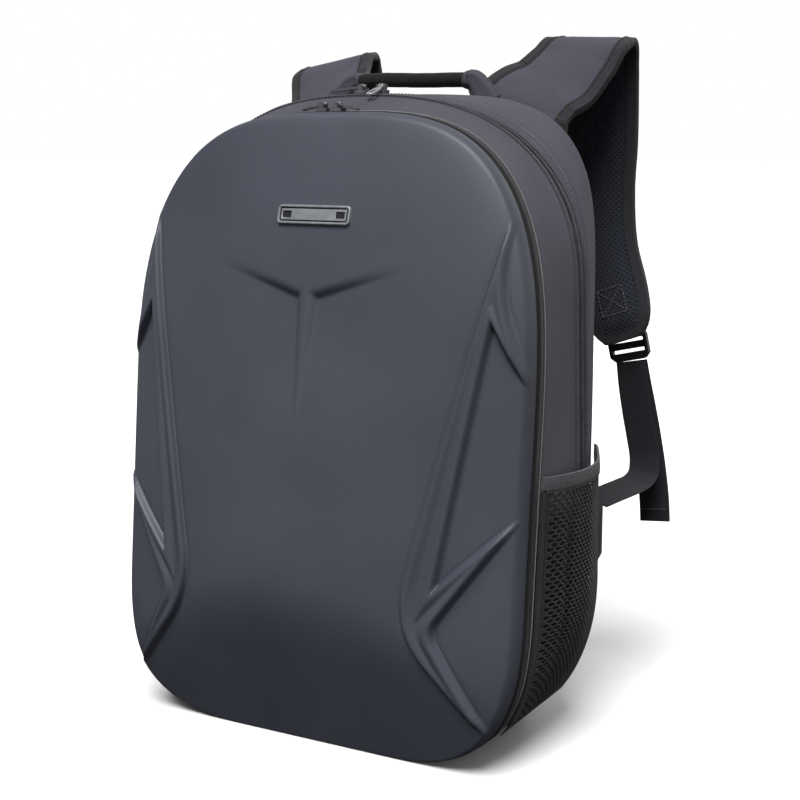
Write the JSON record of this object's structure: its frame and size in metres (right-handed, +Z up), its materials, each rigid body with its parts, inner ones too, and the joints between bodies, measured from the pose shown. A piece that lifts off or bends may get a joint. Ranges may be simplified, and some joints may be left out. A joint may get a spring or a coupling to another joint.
{
  "type": "laptop backpack",
  "caption": "Soft laptop backpack with a moulded front shell, side mesh pockets, padded shoulder straps, carrying handle and zip pulls that swing.",
  "frame": {"origin": "middle of the flat base, on the floor the bag stands on", "axes": "+X to the right seen from the front, +Y from the front shell to the wearer's back, +Z up"},
  "size_m": [0.3654, 0.2886, 0.511],
  "materials": {
    "shell": "satin moulded shell",
    "badge": "brushed",
    "cloth": "woven heather grey",
    "dark_cloth": "woven near black",
    "zip_tape": "ribbed tape",
    "zip_chain": "coil zip",
    "pocket_mesh": "open mesh",
    "elastic_band": "heather elastic",
    "strap_mesh": "spacer mesh",
    "binding": "grosgrain binding",
    "webbing": "woven webbing",
    "buckle_plastic": "satin",
    "zip_metal": "gunmetal"
  },
  "bodies": {
    "bag": {"front_shell": "shell", "badge_plate": "badge", "front_gusset": "cloth", "rear_gusset": "cloth", "back_panel": "cloth", "shoulder_strap_right": "cloth", "shoulder_strap_left": "cloth", "anchor_tab_right": "cloth", "anchor_tab_left": "cloth", "handle_anchor_right": "cloth", "handle_anchor_left": "cloth", "base_panel": "dark_cloth", "top_handle": "dark_cloth", "front_zip_tape": "zip_tape", "main_zip_tape": "zip_tape", "front_zip_chain": "zip_chain", "main_zip_chain": "zip_chain", "side_pocket_right": "pocket_mesh", "side_pocket_left": "pocket_mesh", "pocket_band_right": "elastic_band", "pocket_band_left": "elastic_band", "strap_lining_right": "strap_mesh", "strap_lining_left": "strap_mesh", "strap_binding_right": "binding", "strap_binding_left": "binding", "lock_webbing_right": "webbing", "lock_webbing_left": "webbing", "lower_webbing_right": "webbing", "lower_webbing_left": "webbing", "webbing_tail_right": "webbing", "webbing_tail_left": "webbing", "ladder_lock_right": "buckle_plastic", "ladder_lock_left": "buckle_plastic", "main_left_slider": "zip_metal", "main_right_slider": "zip_metal", "front_left_slider": "zip_metal", "front_right_slider": "zip_metal"},
    "main_left_pull": {"main_left_pull": "zip_metal"},
    "main_right_pull": {"main_right_pull": "zip_metal"},
    "front_left_pull": {"front_left_pull": "zip_metal"},
    "front_right_pull": {"front_right_pull": "zip_metal"}
  },
  "joints": [
    {"name": "main_left_pull_swing", "type": "hinge", "parent": "bag", "child": "main_left_pull", "pos_m": [-0.00534, 0.01309, 0.46848], "axis": [0, 1, 0], "range_deg": [0, 150]},
    {"name": "main_right_pull_swing", "type": "hinge", "parent": "bag", "child": "main_right_pull", "pos_m": [0.01103, 0.01309, 0.46842], "axis": [-1, 0, 0], "range_deg": [0, 150]},
    {"name": "front_left_pull_swing", "type": "hinge", "parent": "bag", "child": "front_left_pull", "pos_m": [-0.01401, -0.02581, 0.45517], "axis": [0, 1, 0], "range_deg": [0, 100]},
    {"name": "front_right_pull_swing", "type": "hinge", "parent": "bag", "child": "front_right_pull", "pos_m": [-0.00205, -0.02581, 0.4552], "axis": [0, -1, 0], "range_deg": [0, 100]}
  ]
}
